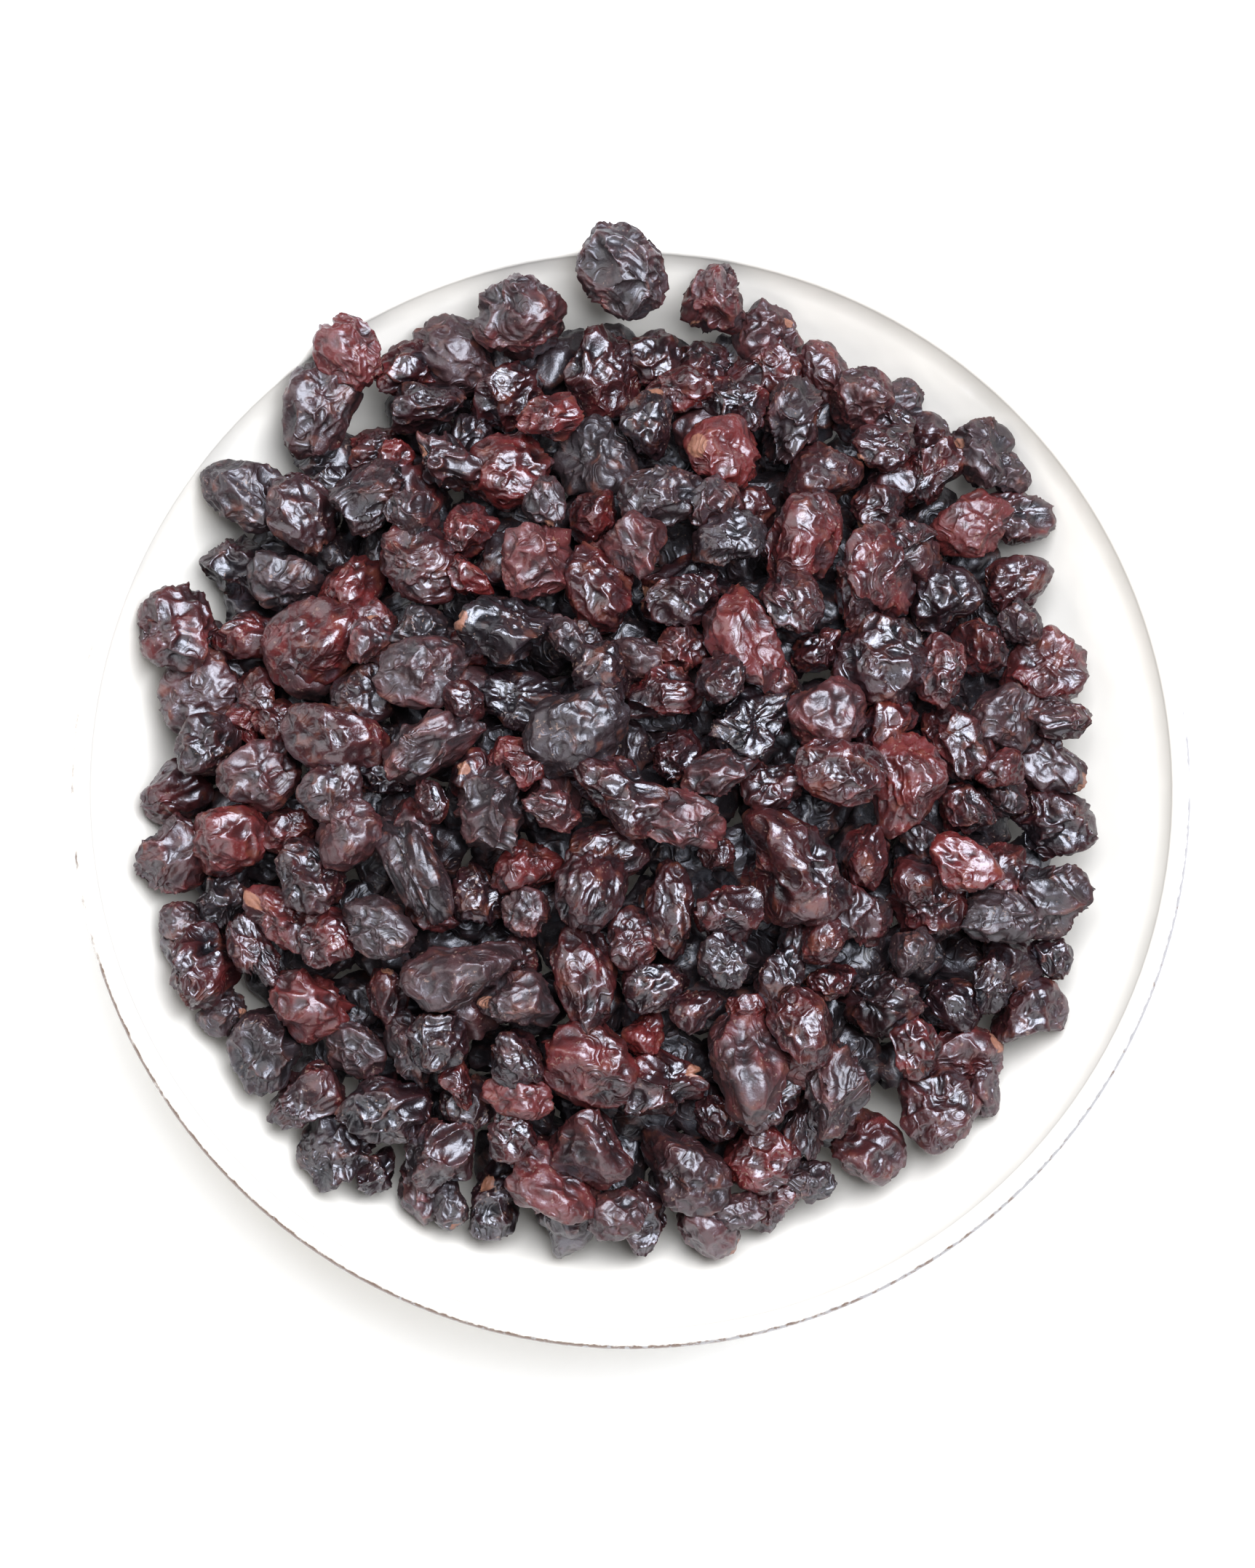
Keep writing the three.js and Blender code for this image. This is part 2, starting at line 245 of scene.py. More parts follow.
def outsideAt(angle):
    share = angle / mouthAngle
    wall = bowl["floorThickness"] + (bowl["lipThickness"] - bowl["floorThickness"]) * share
    return onShell(hollowRadius + wall, angle)


def arc(middle, radius, start, end, steps):
    turns = [math.radians(start + (end - start) * i / steps) for i in range(steps + 1)]
    return [(middle[0] + radius * math.cos(turn), middle[1] + radius * math.sin(turn)) for turn in turns]


# Rings of the bowl from under its middle, round the foot, up the outside, over the lip and down the hollow.
# Each arc turns from one angle to another, in degrees from straight out.
def bowlRings():
    foot, footRound, footSteps = bowl["footRadius"], bowl["footRound"], bowl["footSteps"]
    inFoot = foot - bowl["footWidth"]
    reach = hollowRadius + bowl["floorThickness"]
    recess = math.asin((inFoot - bowl["recessInset"]) / reach)
    shoulder = math.asin((foot + bowl["shoulder"]) / reach)
    rings = [outsideAt(recess * i / bowl["recessSteps"]) for i in range(1, bowl["recessSteps"] + 1)]
    edgeMiddle = (inFoot - bowl["recessInset"], outsideAt(recess)[1] - bowl["recessRound"])
    rings += arc(edgeMiddle, bowl["recessRound"], 80, 0, footSteps - 1)
    rings += arc((inFoot + footRound, footRound), footRound, 180, 270, footSteps)
    rings += arc((foot - footRound, footRound), footRound, -90, 0, footSteps)
    wallStart = outsideAt(shoulder)[1]
    rings += [(foot + out, wallStart + up) for out, up in bowl["footToWall"]]
    steps = bowl["wallSteps"]
    rings += [outsideAt(shoulder + (mouthAngle - shoulder) * i / steps) for i in range(steps)]
    rings += arc((lipRadius, lipMiddle), lip, 0, 180, bowl["lipSteps"])
    rings += [onShell(hollowRadius, mouthAngle * (steps - i) / steps) for i in range(1, steps)]
    return rings


def deselectAll():
    bpy.ops.object.select_all(action="DESELECT")


# Extrudes the bowl ring by ring from a small circle, and closes it at both poles.
def shapeBowl():
    deselectAll()
    rings = bowlRings()
    radius, height = rings[0]
    bpy.ops.mesh.primitive_circle_add(vertices=bowl["segments"], radius=radius * mm, fill_type="TRIFAN",
                                      location=(0, 0, height * mm))
    piece = bpy.context.object
    piece.name = "glazed_bowl"
    bpy.ops.object.transform_apply(location=True)
    hub = min(piece.data.vertices, key=lambda vertex: vertex.co.to_2d().length)
    hub.co.z = outsideAt(0)[1] * mm
    bpy.ops.object.mode_set(mode="EDIT")
    bpy.ops.mesh.select_all(action="SELECT")
    bpy.ops.mesh.region_to_loop()
    for nextRadius, nextHeight in rings[1:]:
        bpy.ops.mesh.extrude_edges_move(TRANSFORM_OT_translate={"value": (0, 0, (nextHeight - height) * mm)})
        growth = nextRadius / radius
        bpy.ops.transform.resize(value=(growth, growth, 1), center_override=(0, 0, 0))
        radius, height = nextRadius, nextHeight
    bpy.ops.mesh.edge_face_add()
    bpy.ops.mesh.poke()
    bpy.ops.mesh.select_all(action="SELECT")
    bpy.ops.mesh.normals_make_consistent(inside=False)
    bpy.ops.object.mode_set(mode="OBJECT")
    bpy.ops.object.shade_smooth()
    return piece


# The glaze's colors, shares and noises. A noise has a size in millimetres, a detail and a roughness.
glazeLook = {
    "glaze": (0.79, 0.762, 0.715),
    "wear": (0.13, 0.075, 0.05),
    # a painted highlight: the silver-grey that the worn line turns to in patches, more of them to the right
    "paintedGlintColor": (0.30, 0.29, 0.30),
    "speck": (0.50, 0.24, 0.09),
    "bareClay": (0.62, 0.52, 0.42),
    "lineInset": (0.6, 0.3),  # the worn line starts and is full this far inside the rim's edge
    "lineDrop": (2, 1.3),  # and this far under the lip
    "lineRagged": 0.7,
    "raggedNoise": (1.1, 4, 0.7),
    "nearSide": (-45, 25),
    "nearSideTurn": 0.2,
    "nearSideWear": 0.4,
    "wearNoise": (5, 5, 0.7),
    "wearSpread": (0.52, 0.74),
    "paintedGlintNoise": (0.9, 3),
    "paintedGlintRise": 3.2,  # for each metre to the right
    "paintedGlintSpread": (0.5, 0.62),
    "speckSpacing": 9,
    "speckSize": (0.02, 0.035),  # shares of the spacing
    "speckNoise": (13,),
    "speckPatches": (0.6, 0.62),
    "speckStrength": 0.8,
    "cloudNoise": (24, 3),
    "cloudLift": 1.03,
    "clayHeight": (0.05, 0.3),
    "rough": 0.13,
    "wearRough": 0.25,
    "clayRough": 0.5,
    "cloudRough": 0.05,
    "swellNoise": (7, 2),
    "swellHeight": 0.12,
    "coat": 0.4,
    "coatRough": 0.06,
}


def glazeFinish():
    look = glazeLook
    glaze = Finish("worn_white_glaze")
    place = glaze.place()
    split = glaze.add("ShaderNodeSeparateXYZ", None, place)
    x, y, z = (Shade(glaze, output) for output in split.socket.node.outputs)
    out = glaze.add("ShaderNodeMath", {"operation": "SQRT"}, x * x + y * y)
    # The worn line runs along the outer edge of the lip, most of all on the near side.
    ragged = (glaze.noise(*look["raggedNoise"]) - 0.5) * (look["lineRagged"] * mm)
    edge = (out + ragged).above(*[(bowl["rimRadius"] - inset) * mm for inset in look["lineInset"]])
    edge = edge * z.above(*[(bowl["lipHeight"] - drop) * mm for drop in look["lineDrop"]])
    nearSide = 1 - (y - look["nearSideTurn"] * x).above(*[back * mm for back in look["nearSide"]])
    worn = glaze.noise(*look["wearNoise"]) + nearSide * look["nearSideWear"]
    chipped = edge * worn.above(*look["wearSpread"])
    # Painted highlight: the worn line turns silver-grey in patches, more of them to the right, so the wear
    # color mixed in below carries a painted glint.
    paintedGlintShare = (glaze.noise(*look["paintedGlintNoise"]) + x * look["paintedGlintRise"]).above(*look["paintedGlintSpread"])
    wear = glaze.mix(paintedGlintShare, look["wear"], look["paintedGlintColor"])
    cell = glaze.add("ShaderNodeTexVoronoi", None, Vector=place, Scale=1 / (look["speckSpacing"] * mm))
    patches = glaze.noise(*look["speckNoise"]).above(*look["speckPatches"])
    specks = (1 - cell.above(*look["speckSize"])) * patches
    cloud = glaze.noise(*look["cloudNoise"])
    body = glaze.mix(cloud, look["glaze"], [part * look["cloudLift"] for part in look["glaze"]])
    body = glaze.mix(specks * look["speckStrength"], body, look["speck"])
    body = glaze.mix(chipped, body, wear)
    clay = 1 - z.above(*[height * mm for height in look["clayHeight"]])
    body = glaze.mix(clay, body, look["bareClay"])
    rough = look["rough"] + chipped * look["wearRough"] + clay * look["clayRough"]
    rough = rough + cloud * look["cloudRough"]
    swell = glaze.bump(glaze.noise(*look["swellNoise"]), look["swellHeight"])
    return glaze.close(Base_Color=body, Roughness=rough, Normal=swell, Coat_Weight=look["coat"],
                       Coat_Roughness=look["coatRough"])


# The heap, and the rule that lays its berries, are the drawing's own, with the same draws in the same order.
heap = {
    "middleX": -1.4,
    "middleY": 3.8,
    "crownHeight": 58,
    "fall": 17,
    "fallRadius": 56,
    "wallGap": 0.4,
    "skinGap": 0.3,
    "coreDepth": 8.5,
}
laying = {
    "seed": 20731,
    "smallest": 3.2,
    "largest": 4.4,
    "tries": 48,
    "nest": 0.83,
    "sinkInCore": 0.45,
    "overCrown": 2,
    "misses": 40,
    "inView": 0.8,
    "footprint": 59,
    "lowerLayer": 20,
    "most": 420,
}
# The drawing's chosen berries: across, back, radius and tint, which is 0 for blue-black and 1 for clear red.
# Those drawn out more than most also have how far, and where they point, in degrees from across.
edgeBerries = [
    (-1.2, 60.3, 5.5, 0.5), (-13.2, 57.6, 5.8, 0.6), (10.1, 59.2, 4.9, 0.65), (16.5, 52.2, 5.2, 0.6),
    (28.6, 46.6, 4.6, 0.55), (36, 43, 3.6, 0.3), (43.2, 40.4, 4.4, 0.3), (47, 33.2, 4, 0.45),
    (46.6, 24.6, 4.2, 0.4), (50.4, 14.5, 5, 0.6), (50.2, 4, 4.8, 0.35), (50.3, -4.4, 4.7, 0.35),
    (49.4, -13.4, 4.7, 0.4), (46.2, -20.2, 4.2, 0.15), (48, -27.6, 4.4, 0.35), (40.4, -33.2, 4.3, 0.65),
    (36.6, -39.6, 5.1, 0.45), (27.4, -43.6, 4.6, 0.5), (17.5, -50, 3.9, 0.5), (9.3, -52.4, 4.4, 0.5),
    (1.5, -51.8, 3.8, 0.35), (-8, -52, 4.2, 0.1), (-16.6, -50, 4.5, 0.1), (-25.4, -47.8, 3.9, 0.5),
    (-35, -43.4, 5, 0.1), (-39.5, -37.6, 4.1, 0.45), (-43.6, -32, 4.9, 0.15), (-51.2, -21.6, 5.5, 0.4),
    (-49.6, -14, 4, 0.1), (-56, -8.6, 4.8, 0.55), (-55.4, -0.6, 4, 0.4), (-50.5, 4.2, 4, 0.25),
    (-51.6, 11.7, 4.8, 0.4), (-55, 19, 5, 0.55), (-47.6, 26.6, 4.4, 0.2), (-46.4, 35.2, 5, 0.1),
    (-37.6, 46, 5, 0.35), (-33.6, 52, 4.1, 0.9), (-21.2, 53.4, 4.8, 0.3), (3.4, 52.6, 4.2, 0.25),
    (-4.2, 50, 5.5, 0.42),
]
faceBerries = [
    (-14.4, 47.7, 4.3, 0.45), (6.2, 46.9, 4, 0.6), (12.4, 45.5, 3.8, 0.4),
    (19.4, 43.9, 5.1, 0.3, 1.25, 60), (30.4, 40.6, 3.5, 0.4), (36.2, 37.7, 4.4, 0.55),
    (41.7, 31.7, 4.2, 0.85), (11.3, 38.6, 4.8, 0.95), (23, 36.7, 4.7, 0.35), (-4.1, 38.7, 5, 0.04),
    (-14.4, 37.2, 5, 0.68, 1.2, 10), (-22.7, 38.3, 4.3, 0.5), (-31.1, 34.2, 4.5, 0.35, 1.2, 25),
    (-36.8, 37.6, 3.3, 0.1), (-39.8, 32.1, 4.5, 0.25, 1.2, -50), (-26.1, 31.3, 3.6, 0.45),
    (-25.1, 25.7, 4.7, 0.45, 1.4, -10), (-33.8, 23.5, 4.1, 0.7), (-41.7, 24.5, 4.5, 0.15),
    (-11.1, 26.3, 4.9, 0.85), (-10.3, 32.7, 2.9, 0.4), (-3.1, 22.4, 5, 0.5), (1, 26.7, 3.9, 0.65),
    (3.9, 32.9, 4.5, 0.2), (9.2, 32.4, 3.9, 0.5), (15, 32, 3, 0.45), (20.1, 29, 5, 0.6, 1.2, 70),
    (30.1, 32.9, 3.5, 0.4), (33.1, 29.2, 3.2, 0.5), (29.2, 24, 5.4, 0.62), (37.6, 21.8, 4.2, 0.1),
    (42.4, 17, 3.5, 0.5), (7.5, 21.8, 4.9, 0.35), (11.5, 27.7, 3.8, 0.05),
    (13.7, 16.3, 5.1, 0.8, 1.3, -65), (18.9, 20.6, 3.8, 0.45), (22.5, 15.5, 2.8, 0.4),
    (29.8, 14.2, 5.1, 0.3), (37, 12.7, 3.9, 0.7, 1.2, 90), (45.2, 7.7, 4.3, 0.3), (52.1, 8.8, 3.6, 0.5),
    (39, 3.8, 4.6, 0.5, 1.2, -60), (30.9, 6.2, 4, 0.62), (32.7, -0.5, 5.1, 0.72, 1.25, 85),
    (23.7, 7.2, 4.7, 0.6), (24.4, 0.7, 4.2, 0.55, 1.25, -15), (14.3, 5.9, 4.7, 0.1, 1.35, 15),
    (11, 11.1, 3.4, 0.3), (3.7, 9, 4.1, 0.6), (0.3, 14.4, 3.2, 0.3), (-6.2, 4.9, 5.3, 0.03),
    (-14.4, 17.5, 5.3, 0.05), (-24.9, 17, 3.6, 0.05), (-24.2, 12.3, 4.6, 0.5, 1.25, 10),
    (-38.3, 16.6, 5.2, 0.6), (-31.7, 9.8, 4, 0.15), (-13.3, 8.6, 4.2, 0, 1.3, -15),
    (-2.9, 11.8, 3.7, 0.1), (-41.5, 6.9, 3.4, 0.62), (-35, 5.3, 4.9, 0.4),
    (-23.4, 3.3, 4.9, 0.55, 1.5, 30), (-44.4, 0.8, 4.6, 0.6), (-35.6, -1.4, 3.8, 0.3),
    (-16.6, -4, 5.5, 0.45), (-33.9, -6, 4.5, 0.55), (-48.5, -7.4, 4.8, 0.8),
    (-1.5, -2.6, 5.1, 0.4, 1.2, -20), (4.8, 2.4, 3.3, 0.35), (10.3, 0.1, 3.9, 0.6),
    (16.8, -1.3, 3.6, 0.45), (4.9, -6, 4.3, 0.85, 1.35, -10), (18.5, -10.8, 7, 0.42),
    (27.8, -8.8, 3.7, 0.5, 1.25, 80), (34.9, -14.2, 5.2, 0.5), (39.6, -10.4, 3.7, 0.88, 1.3, -30),
    (43.1, -16.6, 3.9, 0.3), (-12.3, -10.8, 3.8, 0.75, 1.2, 35), (-37.7, -11.5, 4.5, 0.35),
    (-25.7, -10.6, 4.7, 0.2, 1.8, -70), (-17.8, -13.9, 3.5, 0.15), (-4.7, -13, 4.7, 0.3),
    (-12.1, -16.4, 3, 0.6), (-41.4, -16.3, 4.2, 0.7), (-36, -18.4, 3.9, 0.6),
    (-45.5, -20.6, 3.6, 0.5, 1.4, -60), (-38.6, -26.3, 5, 0.85, 1.3, -10),
    (-20.2, -22.4, 5.5, 0.35, 1.25, 25), (-29, -25.3, 3.4, 0.5), (-13.5, -26.8, 4.2, 0.35),
    (-5.5, -23.6, 4.7, 0.5, 1.35, 95), (4.7, -15.7, 3.7, 0.3, 1.45, 95), (11.2, -16, 4.1, 0.5),
    (10.8, -21.8, 3.1, 0.1), (2.9, -24.5, 3.9, 0.2), (7.7, -27.4, 2.9, 0.3), (17.9, -23.5, 4, 0.2),
    (23.6, -23.7, 2.8, 0.4), (30.3, -26, 4.7, 0.35, 1.35, 0), (39.1, -26.5, 3.7, 0.1),
    (20.1, -29.6, 4.1, 0.5), (13.4, -34, 5.6, 0.55, 1.2, 80), (24.9, -36.1, 4.8, 0.45, 1.35, 75),
    (3.7, -36.2, 4.6, 0.5), (-32.8, -31.8, 3.7, 0.35), (-23.1, -31.2, 4, 0.15), (-13.8, -32.7, 3.7, 0.2),
    (-4.2, -33.4, 5.5, 0.6), (-29.8, -39, 4.7, 0.2), (-22.7, -44.3, 4.6, 0.45),
    (-13.3, -37.6, 3.3, 0.88, 1.3, 0), (-14.2, -41.8, 3.1, 0.5), (-9.2, -48.3, 5, 0.72, 1.2, -25),
    (-4.4, -43.8, 5, 0.5), (6.3, -46.2, 5.4, 0.3), (15.5, -44.6, 4.3, 0.6), (-1.5, -51.5, 3.5, 0.5),
    (33.6, -20.6, 3.2, 0.15), (-26.5, 50.3, 3.8, 0.55), (-25.4, 45.8, 4, 0.2, 1.3, 0),
]
# The smaller berries that the drawing leaves out: a few with a place of their own, given as above, and then
# as many as the same rule finds room for with these values.
tuckedBerries = [
    (17.2, 55.6, 4, 0.55), (45.9, 38.2, 3, 0.3), (32.4, 44.6, 2.6, 0.3), (-54.4, -16.6, 2.8, 0.3),
    (-6.5, -51, 3.4, 0.1), (-30.5, -46.6, 3, 0.2), (12.8, -51.2, 2.8, 0.3), (50.6, -20.6, 2.8, 0.2),
    (-49.6, -27.2, 2.9, 0.2), (21.6, -47.2, 2.9, 0.2), (-21.4, -50, 2.9, 0.1), (47.2, 19.4, 3, 0.3),
    (43.6, -23.6, 3, 0.2), (42.6, -36.4, 2.8, 0.4), (-54.8, -19.6, 2.8, 0.3), (33.2, 47.2, 2.8, 0.4),
]
filling = {
    "smallest": 2.6,
    "largest": 3.8,
    "tries": 90,
    "misses": 40,
    "nest": 0.8,
    "inView": 0.8,
    "overCrown": 0,
    "footprint": 54,
}
# The first chosen berry lies farther back than in the drawing, across the lip, and is hardly sunken.
lipBerry = {
    "back": 62,
    "sizes": (1.3, 1.02, 0.95),
    "heading": -50,
    "dentShare": 0.35,
    "swelling": 1.15,
}
drawn = [laying["seed"]]
drawFactor = 16807
drawLimit = 2147483647


def draw():
    drawn[0] = drawn[0] * drawFactor % drawLimit
    return (drawn[0] - 1) / (drawLimit - 1)


def between(low, high):
    return low + (high - low) * draw()


def drawDirection():
    while True:
        way = [between(-1, 1) for _ in range(3)]
        length = math.sqrt(way[0] * way[0] + way[1] * way[1] + way[2] * way[2])
        if 0.1 <= length <= 1:  # too short a way would be unsure, and a longer one favors the corners
            return np.array(way) / length


def crown(x, y):
    across, back = x - heap["middleX"], y - heap["middleY"]
    share = (across * across + back * back) / (heap["fallRadius"] * heap["fallRadius"])
    return heap["crownHeight"] - heap["fall"] * share


def heightOnBowl(x, y, radius):
    out = math.sqrt(x * x + y * y)
    inside = hollowRadius - heap["wallGap"] - radius
    if out < inside * (mouth / hollowRadius):
        return hollowCentre - math.sqrt(inside * inside - out * out)
    reach = radius + lip + heap["wallGap"]
    off = out - lipRadius
    return lipMiddle + math.sqrt(max(0, reach * reach - off * off))


def restingHeight(x, y, radius, laid):
    onCore = crown(x, y) - heap["coreDepth"] + radius * (1 - laying["sinkInCore"])
    height = max(onCore, heightOnBowl(x, y, radius))
    for other in laid:
        reach = laying["nest"] * (radius + other["radius"])
        across, back = x - other["x"], y - other["y"]
        left = reach * reach - across * across - back * back
        if left > 0:
            height = max(height, other["z"] + math.sqrt(left))
    return height


def hides(x, y, z, radius, other):
    clear = laying["inView"] * (radius + other["radius"])
    across, back = x - other["x"], y - other["y"]
    return z > other["z"] and across * across + back * back < clear * clear


def lowestSpot(radius, laid):
    reach = laying["footprint"] - radius
    chosen = [other for other in laid if other["chosen"]]
    best = None
    for _ in range(laying["tries"]):
        across, back = between(-reach, reach), between(-reach, reach)
        if across * across + back * back > reach * reach:
            continue
        x, y = heap["middleX"] + across, heap["middleY"] + back
        z = restingHeight(x, y, radius, laid)
        over = z + radius - crown(x, y)
        if over > laying["overCrown"] or any(hides(x, y, z, radius, other) for other in chosen):
            continue
        if best is None or over < best["over"]:
            best = {"x": x, "y": y, "z": z, "over": over}
    return best


def layUntilFull(laid, limit):
    missed = 0
    while missed < laying["misses"] and len(laid) < limit:
        radius = between(laying["smallest"], laying["largest"])
        spot = lowestSpot(radius, laid)
        if spot:
            laid.append({**spot, "radius": radius, "chosen": False})
        missed = 0 if spot else missed + 1


def layChosen(laid, chosen):
    for x, y, radius, tint, *form in chosen:
        pressedIn = crown(x, y) + laying["overCrown"] - radius
        z = max(min(restingHeight(x, y, radius, laid), pressedIn), heightOnBowl(x, y, radius))
        laid.append({"x": x, "y": y, "z": z, "radius": radius, "tint": tint, "form": form, "chosen": True})


def layBerries():
    laid = []
    layUntilFull(laid, laying["lowerLayer"])
    layChosen(laid, edgeBerries + faceBerries)
    layUntilFull(laid, laying["most"])
    return laid


# The share of each berry that shows from above, from a coarse map of the heap's heights.
topMap = {
    "reach": 70,
    "step": 0.5,
}


def findShown(berries):
    ticks = np.arange(-topMap["reach"], topMap["reach"], topMap["step"])
    across, back = np.meshgrid(ticks, ticks)
    top = np.full(across.shape, -np.inf)
    owner = np.full(across.shape, -1)
    for i, berry in enumerate(berries):
        left = berry["radius"] ** 2 - (across - berry["x"]) ** 2 - (back - berry["y"]) ** 2
        height = berry["z"] + np.sqrt(np.maximum(left, 0))
        mine = (left > 0) & (height > top)
        top[mine] = height[mine]
        owner[mine] = i
        berry["area"] = (left > 0).sum()
    for i, berry in enumerate(berries):
        berry["shown"] = (owner == i).sum() / berry["area"]


# A close layer of plain berries under the others, so that nothing pale shows between them. They get only the
# darkest tints, as painted shade down in the gaps.
below = {
    "step": 7,
    "rows": 11,
    "reach": 52,
    "depth": 8.5,
    "radius": (0.72, 0.8),  # shares of the step
    # blue-black tints only, as painted shade in the gaps
    "tint": (0, 0.1),
    "dry": 0.6,
    "swelling": 1.4,
}


def makeLayerBelow(dice):
    step, rows = below["step"], range(-below["rows"], below["rows"] + 1)
    layer = []
    for row in rows:
        for column in rows:
            across = (column + row % 2 / 2) * step
            back = row * step * math.sqrt(0.75)
            if math.hypot(across, back) > below["reach"]:
                continue
            x, y = heap["middleX"] + across, heap["middleY"] + back
            radius = step * dice.uniform(*below["radius"])
            z = max(crown(x, y) - below["depth"] - radius, heightOnBowl(x, y, radius))
            layer.append(shapeBerry({"x": x, "y": y, "z": z, "radius": radius}))
            # Painted shade: each of these berries gets a blue-black tint.
            layer[-1].update(tint=dice.uniform(*below["tint"]), dry=below["dry"], scarred=False)
            layer[-1].update(swelling=np.full(3, below["swelling"]), facets=None)
    return layer


# A berry's proportions, the way it lies and its broad dents.
berryForm = {
    "longest": 1.26,
    "shortest": 0.8,
    "dents": 6,
    "leastDent": 0.06,
    "deepestDent": 0.24,
    "dentCosine": 0.56,
    "lie": 0.4,
    "fullness": 1.17,
    "thinnest": 0.55,
}


def shapeBerry(berry):
    form = berry.get("form")
    long = form[0] if form else between(1, berryForm["longest"])
    flat = between(berryForm["shortest"], 1)
    if form:
        turn = math.radians(form[1])
        along = np.array([math.cos(turn), math.sin(turn), 0])
    else:
        along = drawDirection()
        along[2] *= berryForm["lie"]
    lengthwise = along / np.linalg.norm(along)
    sideways = np.cross(drawDirection(), lengthwise)
    sideways /= np.linalg.norm(sideways)
    upwards = np.cross(lengthwise, sideways)
    dents = []
    for _ in range(berryForm["dents"]):
        way = drawDirection()
        dents.append((way, between(berryForm["leastDent"], berryForm["deepestDent"])))
    sizes = np.array([long, 1 / (long * flat), flat])
    return {**berry, "sizes": sizes, "basis": np.array([lengthwise, sideways, upwards]), "dents": dents}


def basisOf(heading):  # rows that point lengthwise, sideways and up, for a berry that lies flat
    turn = math.radians(heading)
    return np.array([[math.cos(turn), math.sin(turn), 0], [-math.sin(turn), math.cos(turn), 0], [0, 0, 1]])


def dented(ways, dents):
    radius = np.ones(len(ways))
    for way, deep in dents:
        near = np.clip((ways @ way - berryForm["dentCosine"]) / (1 - berryForm["dentCosine"]), 0, 1)
        radius -= deep * near * (2 - near)
    return np.maximum(radius, berryForm["thinnest"])


# Hollow faces that meet in ridges, as a drying berry shrinks on its seeds.
facets = {
    "number": 9,
    "nearest": 0.8,
    "farthest": 0.94,
    "hollow": 1.7,
    "sharpness": 14,
    "corner": 1.05,
    "unfaced": 0.88,  # the share of its size that a berry without faces keeps
    "rimStart": 0.88,
    "rimWidth": 0.16,
}


def faceted(ways, faces):
    if faces is None:
        return np.full(len(ways), facets["unfaced"])
    nearness = np.clip(ways @ faces["ways"].T, 0, 1) ** facets["hollow"] / faces["depths"]
    total = (nearness ** facets["sharpness"]).sum(axis=1) + facets["corner"] ** -facets["sharpness"]
    return total ** (-1 / facets["sharpness"])


def rollFacets(dice):
    ways = dice.normal(size=(facets["number"], 3))
    return {
        "ways": ways / np.linalg.norm(ways, axis=1)[:, None],
        "depths": dice.uniform(facets["nearest"], facets["farthest"], facets["number"]),
    }


# How the skin of a dried berry creases. Sizes and depths are shares of the berry's radius.
skin = {
    "spacing": 6,
    "coarsest": 1.0,
    "finest": 2.4,
    "uneven": (0.75, 1.2),
    "foldSize": 1.0,
    "foldDepth": 0.33,
    "creaseSize": 1.1,
    "creaseDepth": 0.13,
    "softening": 1,
    "lumpSize": 0.8,
    "lumpDepth": 0.36,
    "sunken": 1.3,
    "bulge": 0.8,
    "slimmest": 0.74,
    "hull": 0.93,
    "give": 0.08,
    "grainSize": 0.14,
    "grainDepth": 0.012,
    "scarShare": 0.18,
    "scarCosine": 0.93,
    "raisedStart": 0.6,
    "raisedWidth": 0.4,
    "thinUnderneath": 0.3,
    "netTones": [(0, 1), (0.06, 0.75), (0.18, 0.42), (0.4, 0.15), (0.8, 0)],
    "waveStart": 0.22,
    "waveStep": 0.055,
    "waves": 11,
}


def makeTexture(name, kind, **settings):
    texture = bpy.data.textures.new(name, kind)
    for key, value in settings.items():
        setattr(texture, key, value)
    return texture


def rampTexture(texture, stops):
    texture.use_color_ramp = True
    ramp = texture.color_ramp
    ramp.interpolation = "EASE"
    while len(ramp.elements) < len(stops):
        ramp.elements.new(0.5)
    for element, (place, tone) in zip(ramp.elements, stops):
        element.position = place
        element.color = (tone, tone, tone, 1)
    return texture


# Ridges where the cells of a net meet, with hollows between them.
def makeNet(name, size):
    net = makeTexture(name, "VORONOI", noise_scale=size, weight_1=-1, weight_2=1, noise_intensity=1)
    return rampTexture(net, skin["netTones"])


# Ridges that run side by side, like the contours of a map.
def makeWandering(name, size):
    clouds = makeTexture(name, "CLOUDS", noise_scale=size, noise_depth=0)
    places = [skin["waveStart"] + skin["waveStep"] * i for i in range(skin["waves"])]
    return rampTexture(clouds, [(place, i % 2) for i, place in enumerate(places)])


def displace(piece, name, texture, strength, direction="NORMAL", middle=0.5):
    step = piece.modifiers.new(name, "DISPLACE")
    step.texture = texture
    step.texture_coords = "LOCAL"
    step.direction = direction
    step.strength = strength
    step.mid_level = middle
    bpy.ops.object.modifier_apply(modifier=name)


def setSpots(piece, spots):
    piece.data.vertices.foreach_set("co", spots.astype(np.float32).ravel())
    piece.data.update()


def spotsOf(piece):
    spots = np.empty(len(piece.data.vertices) * 3, np.float32)
    piece.data.vertices.foreach_get("co", spots)
    return spots.reshape(-1, 3).astype(float)


